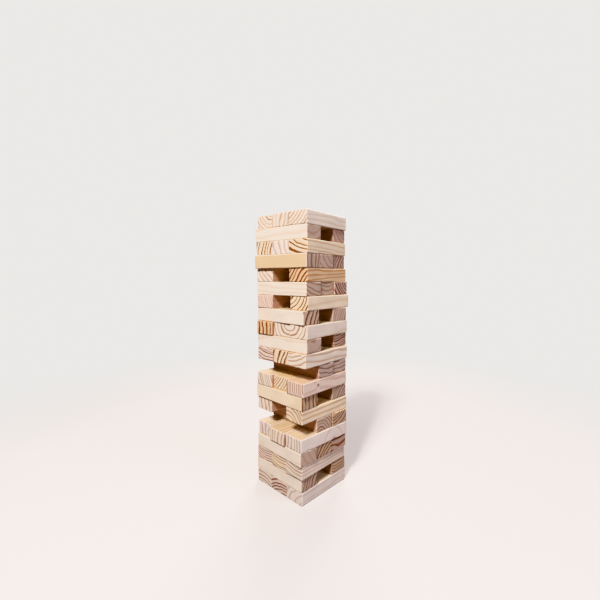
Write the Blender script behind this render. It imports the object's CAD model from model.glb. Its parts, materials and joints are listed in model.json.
"""Giant tumbling tower: fifty-three sanded pine blocks, each cut from its own place in the log.

Every block is a closed rounded box worked out with numpy and laid where its CAD node lies. The pine is one
solid material in several tones: the growth rings are shells about the pith, so the end grain, the side grain
and the arrises of a block all show the same rings cut different ways.
"""

import json
import math

import bpy
import numpy as np
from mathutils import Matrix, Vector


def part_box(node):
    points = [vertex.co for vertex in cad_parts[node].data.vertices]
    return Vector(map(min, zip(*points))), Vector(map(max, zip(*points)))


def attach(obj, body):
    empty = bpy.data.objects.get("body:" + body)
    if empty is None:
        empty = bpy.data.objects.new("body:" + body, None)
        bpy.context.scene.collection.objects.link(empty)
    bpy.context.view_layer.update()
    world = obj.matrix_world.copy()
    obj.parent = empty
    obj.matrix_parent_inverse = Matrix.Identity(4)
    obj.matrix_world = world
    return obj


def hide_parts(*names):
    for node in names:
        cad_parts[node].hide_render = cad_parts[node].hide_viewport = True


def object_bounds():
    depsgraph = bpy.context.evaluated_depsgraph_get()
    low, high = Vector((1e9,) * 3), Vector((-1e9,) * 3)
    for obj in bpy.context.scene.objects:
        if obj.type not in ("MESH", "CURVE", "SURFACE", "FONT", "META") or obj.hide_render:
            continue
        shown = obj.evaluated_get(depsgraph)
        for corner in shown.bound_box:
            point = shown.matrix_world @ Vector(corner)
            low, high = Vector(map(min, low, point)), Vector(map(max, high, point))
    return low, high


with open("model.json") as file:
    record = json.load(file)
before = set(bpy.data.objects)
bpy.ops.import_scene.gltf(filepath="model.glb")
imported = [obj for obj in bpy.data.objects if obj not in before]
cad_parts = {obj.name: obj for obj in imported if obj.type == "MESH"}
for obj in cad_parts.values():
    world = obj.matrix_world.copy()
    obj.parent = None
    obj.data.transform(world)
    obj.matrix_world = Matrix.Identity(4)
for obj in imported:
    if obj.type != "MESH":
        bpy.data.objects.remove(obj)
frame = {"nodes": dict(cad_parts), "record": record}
cad_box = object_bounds()

MM = 0.001


def linear(hex_colour):
    """An sRGB hex colour as linear RGBA."""
    parts = [int(hex_colour[i : i + 2], 16) / 255 for i in (1, 3, 5)]
    return tuple(c / 12.92 if c <= 0.04045 else ((c + 0.055) / 1.055) ** 2.4 for c in parts) + (1.0,)


# ---------------------------------------------------------------- the blocks

ARRIS = 1.9 * MM  # radius that the sanding leaves on every edge
ARRIS_STEPS = 3  # facets over half of an arris
FACE_STEPS = (64, 26, 18)  # squares along, across and up a block
HOLLOW = 0.22 * MM  # how far a planed face dips between its edges
WANDER = 0.16 * MM  # how far a face strays along its length
DENTS = 7  # knocks on the edges and corners of a block

# The wood of each block, as its end grain looks from the end nearest the front right corner of the tower:
# the pith's place to the right of and above the middle of that end, the distance between two rings (mm),
# and how strongly the rings show on the end grain and on the sides.
WOOD = {
    "block_21_left": (18, 22, 8, 0.75, 0.18),
    "block_21_middle": (90, -22, 11, 0.55, 0.14),
    "block_21_right": (-60, 60, 8, 0.85, 0.20),
    "block_20_front": (-12, 46, 14, 0.45, 0.20),
    "block_20_back": (34, 30, 11, 0.45, 0.20),
    "block_19_left": (100, -14, 9.5, 1.70, 0.28),
    "block_19_middle": (90, 25, 13, 0.45, 0.14),
    "block_19_right": (62, 170, 9, 1.50, 0.36),
    "block_18_front": (95, 0, 12, 0.80, 0.30),
    "block_18_middle": (38, 42, 13, 0.50, 0.20),
    "block_18_back": (60, -34, 8, 0.95, 0.28),
    "block_17_left": (60, 40, 11, 0.55, 0.20),
    "block_17_right": (55, -45, 8.5, 1.90, 0.36),
    "block_16_front": (20, 60, 11, 0.62, 0.16),
    "block_16_middle": (-4, 66, 8, 0.62, 0.28),
    "block_16_back": (40, 30, 8, 1.60, 0.36),
    "block_15_left": (75, 22, 5.5, 0.60, 0.20),
    "block_15_right": (-34, 30, 9, 1.50, 0.14),
    "block_14_front": (86, -26, 12, 1.40, 0.06),
    "block_14_back": (86, -24, 8, 0.60, 0.20),
    "block_13_left": (-95, 4, 12, 1.50, 0.40),
    "block_13_middle": (25, 16, 10, 0.75, 0.20),
    "block_13_right": (-25, 16, 10, 0.75, 0.14),
    "block_12_front": (-20, 62, 22, 0.35, 0.14),
    "block_12_back": (-14, 80, 6, 1.70, 0.36),
    "block_11_left": (18, 90, 6.5, 1.15, 0.20),
    "block_11_middle": (85, -28, 13, 1.40, 0.36),
    "block_11_right": (-20, 70, 10, 0.60, 0.40),
    "block_10_middle": (10, 90, 10, 0.85, 0.36),
    "block_10_back": (0, 100, 10, 0.85, 0.36),
    "block_09_left": (90, 22, 8, 0.75, 0.20),
    "block_09_middle": (-45, 32, 6.5, 0.90, 0.20),
    "block_09_right": (95, 10, 5.5, 0.90, 0.18),
    "block_08_front": (90, 2, 11, 1.10, 0.10),
    "block_08_back": (54, -40, 8, 0.95, 0.28),
    "block_07_left": (90, 16, 14, 0.55, 0.20),
    "block_07_right": (-20, -30, 8, 0.90, 0.35),
    "block_06_middle": (-12, -22, 7, 0.85, 0.28),
    "block_06_back": (-30, 50, 8.5, 1.00, 0.36),
    "block_05_left": (-95, 0, 11, 0.55, 0.20),
    "block_05_middle": (92, 0, 10, 0.60, 0.36),
    "block_05_right": (-92, -2, 10, 0.60, 0.17),
    "block_04_front": (110, 40, 15, 0.22, 0.10),
    "block_04_middle": (48, -42, 9, 1.20, 0.28),
    "block_04_back": (0, 110, 13, 0.95, 0.36),
    "block_03_left": (10, 90, 5.5, 1.10, 0.28),
    "block_03_middle": (16, 90, 8, 0.90, 0.28),
    "block_03_right": (20, 85, 8, 0.90, 0.42),
    "block_02_front": (80, -32, 9, 1.00, 0.08),
    "block_02_back": (0, 90, 6, 1.20, 0.28),
    "block_01_left": (-6, -60, 8, 0.80, 0.20),
    "block_01_middle": (14, -50, 8, 1.60, 0.28),
    "block_01_right": (54, -48, 14, 0.35, 0.18),
}

# How far the open end grain has darkened since the saw, on the layers along X and on those along Y
END_AGE = (1.0, 0.15)

# What age leaves of the colour: golden on a face that lay upwards in the sun, brown on one kept inside the
# stack, and darker still in the closed channels along X, which the sun never reaches
SUN_GOLD = "#ebdbbf"
SHELTER_BROWN = "#e6c7bb"
CHANNEL_BROWN = "#c6b0a6"

# Blocks that lay in the sun on their inner long side, with the outer one upwards
TURNED = {"block_18_front"}

# The most that the pith leans across and up, per metre of a block's length
LEAN = 0.035

# Knots: the place along the block, the height and the radius (mm), and how many radii it lies under the
# surface. A buried one doesn't show, but the rings arch over it.
KNOTS = {
    "block_09_right": (27, 3, 2.6, 0),
    "block_16_back": (-30, -4, 4.5, 0),
    "block_05_left": (12, 2, 3.5, 0),
    "block_12_back": (40, 5, 3.0, 0),
    "block_05_right": (-30, -17, 12, 0.9),
}
NO_KNOT = 40  # radii away: nothing shows


def lies_along_y(node):
    """Odd layers lie along Y, even layers along X; the layer is the number in the name."""
    return int(node.split("_")[1]) % 2


def sheltered(node, out):
    """How squarely each outward direction faces into the stack: the inner long side of an outer block, and both
    long sides of a middle one."""
    place = node.split("_")[2]
    inward = {"left": 1, "front": 1, "right": -1, "back": -1}.get(place)
    return np.abs(out[:, 1]) if inward is None else inward * out[:, 1]


def stations(half, steps):
    """Places from -half to half. The arris is taken at equal angles: a place t beyond the inner box turns the
    surface by atan(t / radius), so t is the radius times the tangent of each angle up to 45 degrees."""
    flat = half - ARRIS
    turn = ARRIS * np.tan(np.linspace(0, math.pi / 4, ARRIS_STEPS + 1)[1:])
    return np.concatenate([-(flat + turn)[::-1], np.linspace(-flat, flat, steps + 1), flat + turn])


def rounded_box(half):
    """Points, outward directions and quads of a closed rounded box. Six grids cover a plain box; each point is
    drawn back to the nearest point of the inner box, which is smaller by the radius all round, and pushed
    out from there by the radius."""
    lines = [stations(h, n) for h, n in zip(half, FACE_STEPS)]
    points, quads, used = [], [], 0
    for axis in range(3):
        b, c = (axis + 1) % 3, (axis + 2) % 3
        u, v = np.meshgrid(lines[b], lines[c], indexing="ij")
        index = np.arange(u.size).reshape(u.shape)
        quad = np.stack([index[:-1, :-1], index[1:, :-1], index[1:, 1:], index[:-1, 1:]], -1).reshape(-1, 4)
        for side in (-1, 1):
            grid = np.empty((u.size, 3))
            grid[:, axis] = side * half[axis]
            grid[:, b] = u.ravel()
            grid[:, c] = v.ravel()
            points.append(grid)
            quads.append((quad if side > 0 else quad[:, ::-1]) + used)
            used += u.size
    points = np.concatenate(points)
    _, first, where = np.unique(np.round(points / (0.001 * MM)).astype(np.int64), axis=0,
                                return_index=True, return_inverse=True)
    points = points[first]
    quads = where.reshape(-1)[np.concatenate(quads)]
    inner = np.clip(points, ARRIS - half, half - ARRIS)
    out = points - inner
    out /= np.linalg.norm(out, axis=1, keepdims=True)
    return inner + ARRIS * out, out, quads


def wave(places, rng, longest, count=4):
    """A smooth random curve between 0 and 1: sines of falling wavelength with random phases."""
    total = np.zeros_like(places)
    for k in range(1, count + 1):
        total += np.sin(2 * math.pi * places * k / longest + rng.uniform(0, 2 * math.pi)) / k
    return 0.5 + 0.24 * total


def weathered(points, out, half, rng):
    """The rounded box as it comes from the saw and the lawn, always inside the plain one: faces dip between
    their edges as one minus the square of the way across, stray along their length, and carry knocks, each a
    bell curve pressed in along the edge's own outward direction."""
    across = points / half
    dip = HOLLOW * (1 - across[:, 1] ** 2) * (1 - across[:, 2] ** 2)
    worn = points.copy()
    for axis, longest in ((1, 0.19), (2, 0.23)):
        stray = WANDER * wave(points[:, 0], rng, longest)
        worn[:, axis] -= np.sign(points[:, axis]) * np.abs(out[:, axis]) * (stray + dip)
    worn[:, 0] -= out[:, 0] * WANDER * wave(points[:, 1], rng, 0.08)
    edge = np.flatnonzero((np.abs(out) > 0.5).sum(axis=1) >= 2)
    for place in rng.choice(edge, DENTS, replace=False):
        reach = rng.uniform(1.6, 4.2) * MM
        depth = rng.uniform(0.15, 0.75) * MM
        near = np.linalg.norm(points - points[place], axis=1) / reach
        worn -= out[place] * (depth * np.exp(-near**2))[:, None]
    return worn


def lie_of(node):
    """Centre, axes and half sizes of a CAD block: its long direction is the main axis of its corners' spread,
    taken towards the tower's front right corner, and the others follow from it and from straight up."""
    mesh = frame["nodes"][node].data
    corners = np.empty(len(mesh.vertices) * 3)
    mesh.vertices.foreach_get("co", corners)
    corners = np.unique(np.round(corners.reshape(-1, 3), 6), axis=0)
    low, high = (np.array(c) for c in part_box(node))
    centre = (low + high) / 2
    _, _, spread = np.linalg.svd(corners - centre)
    along = spread[0] * np.sign(spread[0] @ (1, -1, 0))
    up = np.array([0.0, 0.0, 1.0])
    axes = np.array([along, np.cross(up, along), up])
    half = np.abs((corners - centre) @ axes.T).max(axis=0)
    return centre, axes, half


def rise(value, low, high):
    """0 up to low and 1 from high, straight in between."""
    return np.clip((value - low) / (high - low), 0, 1)


def tint(amount, hex_colour):
    """What a tint leaves of red, green and blue at each point: all of them where the amount is 0."""
    return 1 - amount[:, None] * (1 - np.array(linear(hex_colour)[:3]))


def set_attribute(mesh, name, kind, values):
    attribute = mesh.attributes.new(name, kind, "POINT")
    attribute.data.foreach_set("vector" if kind == "FLOAT_VECTOR" else "value", values.astype(np.float32).ravel())


def aged(node, out, axes):
    """What age leaves of red, green and blue at each point of a block."""
    sky_side = -out[:, 1] if node in TURNED else (out @ axes)[:, 2]
    brown = SHELTER_BROWN if lies_along_y(node) or node.endswith("middle") else CHANNEL_BROWN
    return tint(rise(sky_side, 0.8, 1), SUN_GOLD) * tint(rise(sheltered(node, out), 0.6, 1), brown)


def way_to_knot(node, points):
    """The way to a block's knot, along, up and in, in knot radii."""
    if node not in KNOTS:
        return np.full((len(points), 3), NO_KNOT)
    along, height, radius, depth = KNOTS[node]
    beside = (points[:, [0, 2]] - np.array([along, height]) * MM) / (radius * MM)
    return np.column_stack([beside, np.full(len(points), depth)])


def make_block(node, number, materials):
    """One block in place of its CAD node, with what its material reads: its own coordinates (board), those of
    the log in ring widths from the pith (rings), how far a face is open end grain (end_grain), how strongly the
    rings show (figure), what age leaves of the colour (cast), and the way to the knot (knot)."""
    rng = np.random.default_rng(number)
    centre, axes, half = lie_of(node)
    points, out, quads = rounded_box(half)
    worn = weathered(points, out, half, rng)

    mesh = bpy.data.meshes.new("pine_" + node)
    mesh.from_pydata((centre + worn @ axes).tolist(), [], quads.tolist())
    mesh.polygons.foreach_set("use_smooth", np.ones(len(quads), bool))

    right, above, ring, on_ends, on_sides = WOOD[node]
    pith = np.array([0, right, above]) * MM
    lean = np.array([0, *(rng.uniform(-1, 1, 2) * LEAN)])
    end = rise(np.abs(out[:, 0]), 0.45, 0.85)
    end = end * end * (3 - 2 * end)  # eased at both ends
    set_attribute(mesh, "board", "FLOAT_VECTOR", worn + rng.uniform(-5, 5, 3))
    set_attribute(mesh, "rings", "FLOAT_VECTOR", (points - pith - points[:, :1] * lean) / (ring * MM))
    set_attribute(mesh, "end_grain", "FLOAT", end * END_AGE[lies_along_y(node)])
    set_attribute(mesh, "figure", "FLOAT", on_sides + (on_ends - on_sides) * end)
    set_attribute(mesh, "cast", "FLOAT_VECTOR", aged(node, out, axes))
    set_attribute(mesh, "knot", "FLOAT_VECTOR", way_to_knot(node, points))
    mesh.update()

    piece = bpy.data.objects.new("pine_" + node, mesh)
    bpy.context.scene.collection.objects.link(piece)
    tone = slots[node]
    piece.data.materials.append(materials[tone])
    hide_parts(node)
    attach(piece, node)


# ------------------------------------------------------------- the materials


def add(tree, kind, inputs=None, stops=(), **settings):
    """Adds a node, makes its settings, sets or links its inputs, which are named or numbered, and gives a ramp
    its stops, each a place and a grey or a colour."""
    made = tree.nodes.new("ShaderNode" + kind)
    for name, value in settings.items():
        setattr(made, name, value)
    for name, value in (inputs or {}).items():
        if isinstance(value, bpy.types.NodeSocket):
            tree.links.new(value, made.inputs[name])
        else:
            made.inputs[name].default_value = value
    for number, (place, value) in enumerate(stops):
        elements = made.color_ramp.elements
        element = elements[number] if number < len(elements) else elements.new(1.0)
        element.position = place
        element.color = value if isinstance(value, tuple) else (value, value, value, 1.0)
    return made


# Sanded, unvarnished plantation pine, wide-ringed because it grew fast. Early wood is pale and soft and takes up
# most of a ring; it warms into a thin hard band of late wood, which stops sharply where the next spring starts.
# Each tone gives the early wood, the warm wood before the line, and the line.
TONES = {
    "pine_pale": ("#ebe0d2", "#cfb297", "#88593c"),
    "pine_cream": ("#ebdcc4", "#cfa97f", "#85552f"),
    "pine_honey": ("#e0c3a0", "#c28a5a", "#7c4526"),
    "pine_rosy": ("#e7d6c9", "#c6997f", "#77402b"),
    "pine_silver": ("#e8dfd6", "#c8b0a0", "#80594a"),
}
KNOT_WOOD = "#5a321c"  # resinous red-brown
END_SHADE = "#d4c5bf"  # open end grain drinks light: what it leaves of the colour

# How dark the wood is through a year's growth, from one spring (0) to the next (1)
SEASONS = ((0.0, 0.0), (0.48, 0.03), (0.66, 0.26), (0.75, 0.92), (0.92, 1.0), (0.98, 0.08))


def pine(name, early, warm, late):
    """Sanded pine in one tone."""
    material = bpy.data.materials.new(name)
    material.use_nodes = True
    tree = material.node_tree
    tree.nodes.clear()

    board = add(tree, "Attribute", attribute_name="board").outputs["Vector"]
    rings = add(tree, "Attribute", attribute_name="rings").outputs["Vector"]
    end = add(tree, "Attribute", attribute_name="end_grain").outputs["Fac"]
    figure = add(tree, "Attribute", attribute_name="figure").outputs["Fac"]
    knot = add(tree, "Attribute", attribute_name="knot").outputs["Vector"]
    cast = add(tree, "Attribute", attribute_name="cast").outputs["Vector"]

    # Distance from the pith in rings, made uneven as a tree is: slow wander along the trunk, ring widths that
    # vary from year to year, and rings that swell round a knot.
    section = add(tree, "VectorMath", {0: rings, 1: (0, 1, 1)}, operation="MULTIPLY")
    radius = add(tree, "VectorMath", {0: section.outputs[0]}, operation="LENGTH").outputs["Value"]
    slow = add(tree, "Mapping", {"Vector": board, "Scale": (9, 28, 28)})
    wander = add(tree, "TexNoise", {"Vector": slow.outputs[0], "Scale": 1.0, "Detail": 2.0, "Roughness": 0.45})
    radius = add(tree, "Math", {0: wander.outputs["Fac"], 1: 1.5, 2: radius}, operation="MULTIPLY_ADD").outputs[0]
    years = add(tree, "TexNoise", {"W": radius, "Scale": 0.55, "Detail": 1.0}, noise_dimensions="1D")
    radius = add(tree, "Math", {0: years.outputs["Fac"], 1: 1.1, 2: radius}, operation="MULTIPLY_ADD").outputs[0]
    to_knot = add(tree, "VectorMath", {0: knot}, operation="LENGTH").outputs["Value"]
    swell = add(tree, "MapRange", {"Value": to_knot, "From Min": 0.6, "From Max": 4.5, "To Min": 1.6, "To Max": 0.0},
                interpolation_type="SMOOTHERSTEP")
    radius = add(tree, "Math", {0: radius, 1: swell.outputs[0]}).outputs[0]

    # One ring: how far through the year, and how hard this year's late wood is.
    year = add(tree, "Math", {0: radius}, operation="FRACT").outputs[0]
    count = add(tree, "Math", {0: radius}, operation="FLOOR").outputs[0]
    hardness = add(tree, "TexWhiteNoise", {"W": count}, noise_dimensions="1D")
    hardness = add(tree, "MapRange", {"Value": hardness.outputs["Value"], "To Min": 0.62, "To Max": 1.15})
    season = add(tree, "ValToRGB", {"Fac": year}, SEASONS)
    line = add(tree, "Math", {0: season.outputs["Color"], 1: hardness.outputs[0]}, operation="MULTIPLY")
    line = add(tree, "Math", {0: line.outputs[0], 1: figure}, operation="MULTIPLY", use_clamp=True).outputs[0]
    wood = add(tree, "ValToRGB", {"Fac": line}, [(0.0, linear(early)), (0.38, linear(warm)), (1.0, linear(late))])
    colour = wood.outputs["Color"]

    # Fibres: streaks about 1 mm wide and 40 mm long, and slow blotches a few centimetres across.
    stretch = add(tree, "Mapping", {"Vector": board, "Scale": (25, 900, 900)})
    fibre = add(tree, "TexNoise", {"Vector": stretch.outputs[0], "Scale": 1.0, "Detail": 3.0, "Roughness": 0.6})
    blotch = add(tree, "TexNoise", {"Vector": board, "Scale": 26.0, "Detail": 2.0})
    streak = add(tree, "MapRange", {"Value": fibre.outputs["Fac"], "From Min": 0.3, "From Max": 0.7,
                                    "To Min": 0.90, "To Max": 1.05})
    cloud = add(tree, "MapRange", {"Value": blotch.outputs["Fac"], "From Min": 0.3, "From Max": 0.7,
                                   "To Min": 0.93, "To Max": 1.04})
    value = add(tree, "Math", {0: streak.outputs[0], 1: cloud.outputs[0]}, operation="MULTIPLY").outputs[0]
    colour = add(tree, "VectorMath", {0: colour, "Scale": value}, operation="SCALE").outputs[0]

    # End grain: darker, with the open ends of the fibres as pores under a millimetre across.
    pores = add(tree, "TexVoronoi", {"Vector": board, "Scale": 1300.0})
    pits = add(tree, "MapRange", {"Value": pores.outputs["Distance"], "From Min": 0.1, "From Max": 0.6,
                                  "To Min": 0.88, "To Max": 1.0})
    shade = add(tree, "VectorMath", {0: linear(END_SHADE)[:3], "Scale": pits.outputs[0]}, operation="SCALE")
    ended = add(tree, "VectorMath", {0: colour, 1: shade.outputs[0]}, operation="MULTIPLY").outputs[0]
    colour = add(tree, "Mix", {0: end, 6: colour, 7: ended}, data_type="RGBA").outputs[2]

    # Age: golden where the sun reached, brown where the stack kept it off.
    colour = add(tree, "VectorMath", {0: colour, 1: cast}, operation="MULTIPLY").outputs[0]

    # Knots: resinous wood with a dark rim.
    core = add(tree, "MapRange", {"Value": to_knot, "From Min": 0.75, "From Max": 1.25, "To Min": 0.9, "To Max": 0.0},
               interpolation_type="SMOOTHSTEP")
    colour = add(tree, "Mix", {0: core.outputs[0], 6: colour, 7: linear(KNOT_WOOD)}, data_type="RGBA").outputs[2]

    # Relief: fibres raised by sanding, late wood left proud, and the ends of the fibres furred by the saw.
    relief = add(tree, "Math", {0: fibre.outputs["Fac"], 1: 0.5, 2: line}, operation="MULTIPLY_ADD").outputs[0]
    relief = add(tree, "Math", {0: pits.outputs[0], 1: 0.6, 2: relief}, operation="MULTIPLY_ADD").outputs[0]
    bump = add(tree, "Bump", {"Height": relief, "Strength": 0.35, "Distance": 0.12 * MM})
    rough = add(tree, "MapRange", {"Value": end, "To Min": 0.46, "To Max": 0.86})
    rough = add(tree, "Math", {0: line, 1: -0.06, 2: rough.outputs[0]}, operation="MULTIPLY_ADD").outputs[0]

    shader = add(tree, "BsdfPrincipled", {"Base Color": colour, "Roughness": rough, "Normal": bump.outputs[0],
                                          "IOR": 1.5, "Specular IOR Level": 0.42})
    add(tree, "OutputMaterial", {"Surface": shader.outputs[0]})
    return material


PAPER = "#d6d2cf"
PAPER_BOUNCE = "#705648"  # the colour of the light that the paper throws back up: that of a wooden table
FADE = (0.4, 1.6)  # m from the tower, where the paper starts to fade and where it has faded
DISTANCE = (0.90, 0.888, 0.87, 1.0)  # a warm off-white, linear


def paper(name, hex_colour, bounce_colour, distance_colour):
    """Matt studio paper with a faint mottle. Far from the tower the camera sees it as the even distance colour,
    so that no horizon shows; it lights nothing there."""
    material = bpy.data.materials.new(name)
    material.use_nodes = True
    tree = material.node_tree
    tree.nodes.clear()
    place = add(tree, "TexCoord").outputs["Object"]
    mottle = add(tree, "TexNoise", {"Vector": place, "Scale": 3.0, "Detail": 3.0})
    level = add(tree, "MapRange", {"Value": mottle.outputs["Fac"], "To Min": 0.98, "To Max": 1.02})
    colour = add(tree, "VectorMath", {0: linear(hex_colour)[:3], "Scale": level.outputs[0]}, operation="SCALE")
    seen = add(tree, "LightPath").outputs["Is Camera Ray"]
    colour = add(tree, "Mix", {0: seen, 6: linear(bounce_colour), 7: colour.outputs[0]}, data_type="RGBA").outputs[2]
    near = add(tree, "BsdfPrincipled", {"Base Color": colour, "Roughness": 0.95, "Specular IOR Level": 0.1})
    far = add(tree, "Emission", {"Color": distance_colour})
    radius = add(tree, "VectorMath", {0: place}, operation="LENGTH").outputs["Value"]
    fade = add(tree, "MapRange", {"Value": radius, "From Min": FADE[0], "From Max": FADE[1]},
               interpolation_type="SMOOTHSTEP")
    seen_far = add(tree, "Math", {0: fade.outputs[0], 1: seen}, operation="MULTIPLY").outputs[0]
    both = add(tree, "MixShader", {0: seen_far, 1: near.outputs[0], 2: far.outputs[0]})
    add(tree, "OutputMaterial", {"Surface": both.outputs[0]})
    return material


# ---------------------------------------------------------------- the studio

VIEW_AZIMUTH, VIEW_DROP = 42.5, 3.5  # degrees round from the front, and degrees down
EYE = (0.5523, -0.6081, 0.487)  # the camera's place from the middle of the lowest layer
FOCAL = 20.91  # mm, on a 36 mm sensor

# Softboxes: degrees round from the front and up, distance and side (m), power (W) and colour
LIGHTS = {
    "key": (18, 46, 2.8, 0.5, 126, "#fffdfc"),
    "fill": (101, 24, 2.8, 1.2, 40, "#f4f1fd"),
    "back": (214, 38, 2.8, 1.4, 84, "#fffafa"),
}
SKY = "#ffc6a6"
SKY_STRENGTH = 0.055
FLOOR_REACH = 12.0  # m


def aim(obj, azimuth, drop):
    """Turns an object to look along an azimuth (0 is along +Y) and down by drop degrees."""
    obj.rotation_euler = (math.radians(90 - drop), 0, math.radians(azimuth))


def make_camera():
    camera = bpy.data.objects.new("camera", bpy.data.cameras.new("camera"))
    camera.data.lens = FOCAL
    camera.location = EYE
    aim(camera, VIEW_AZIMUTH, VIEW_DROP)
    bpy.context.scene.collection.objects.link(camera)
    bpy.context.scene.camera = camera


def softbox(name, azimuth, elevation, distance, size, watts, hex_colour):
    """A square softbox that stands round the tower as a camera would, and faces its middle."""
    low, high = cad_box
    middle = (low + high) / 2
    a, e = math.radians(azimuth), math.radians(elevation)
    lamp = bpy.data.objects.new(name, bpy.data.lights.new(name, "AREA"))
    lamp.data.shape = "SQUARE"
    lamp.data.size = size
    lamp.data.energy = watts
    lamp.data.color = linear(hex_colour)[:3]
    lamp.location = (middle.x + distance * math.sin(a) * math.cos(e), middle.y - distance * math.cos(a) * math.cos(e),
                     middle.z + distance * math.sin(e))
    aim(lamp, azimuth, elevation)
    bpy.context.scene.collection.objects.link(lamp)


def make_floor(material):
    """A round floor: rings of points about the vertical, their radii growing as the square of their number."""
    reach = FLOOR_REACH * np.linspace(0.05, 1, 24) ** 2
    turn = np.linspace(0, 2 * math.pi, 96, endpoint=False)
    points = np.stack([np.outer(reach, np.cos(turn)), np.outer(reach, np.sin(turn)),
                       np.zeros((len(reach), len(turn)))], axis=-1).reshape(-1, 3)
    index = np.arange(len(points)).reshape(len(reach), len(turn))
    after = np.roll(index, -1, axis=1)
    quads = np.stack([index[:-1], index[1:], after[1:], after[:-1]], -1).reshape(-1, 4)
    mesh = bpy.data.meshes.new("floor")
    mesh.from_pydata(points.tolist(), [], quads.tolist() + [index[0].tolist()])
    mesh.materials.append(material)
    floor = bpy.data.objects.new("floor", mesh)
    floor.location.z = cad_box[0].z
    bpy.context.scene.collection.objects.link(floor)


def make_world(hex_colour, strength, distance_colour):
    """A weak even sky, which the camera sees as the distance colour."""
    world = bpy.data.worlds.new("soft_sky")
    world.use_nodes = True
    tree = world.node_tree
    tree.nodes.clear()
    sky = add(tree, "Background", {"Color": linear(hex_colour), "Strength": strength})
    distance = add(tree, "Background", {"Color": distance_colour})
    seen = add(tree, "LightPath").outputs["Is Camera Ray"]
    both = add(tree, "MixShader", {0: seen, 1: sky.outputs[0], 2: distance.outputs[0]})
    add(tree, "OutputWorld", {"Surface": both.outputs[0]})
    bpy.context.scene.world = world


make_camera()
make_floor(paper("studio_paper", PAPER, PAPER_BOUNCE, DISTANCE))
make_world(SKY, SKY_STRENGTH, DISTANCE)
for name, settings in LIGHTS.items():
    softbox(name, *settings)
bpy.context.scene.view_settings.view_transform = "Khronos PBR Neutral"

slots = {part["node"]: part["material_slot"] for part in frame["record"]["subparts"]}
pines = {name: pine(name, *colours) for name, colours in TONES.items()}
for number, node in enumerate(sorted(WOOD)):
    make_block(node, number, pines)
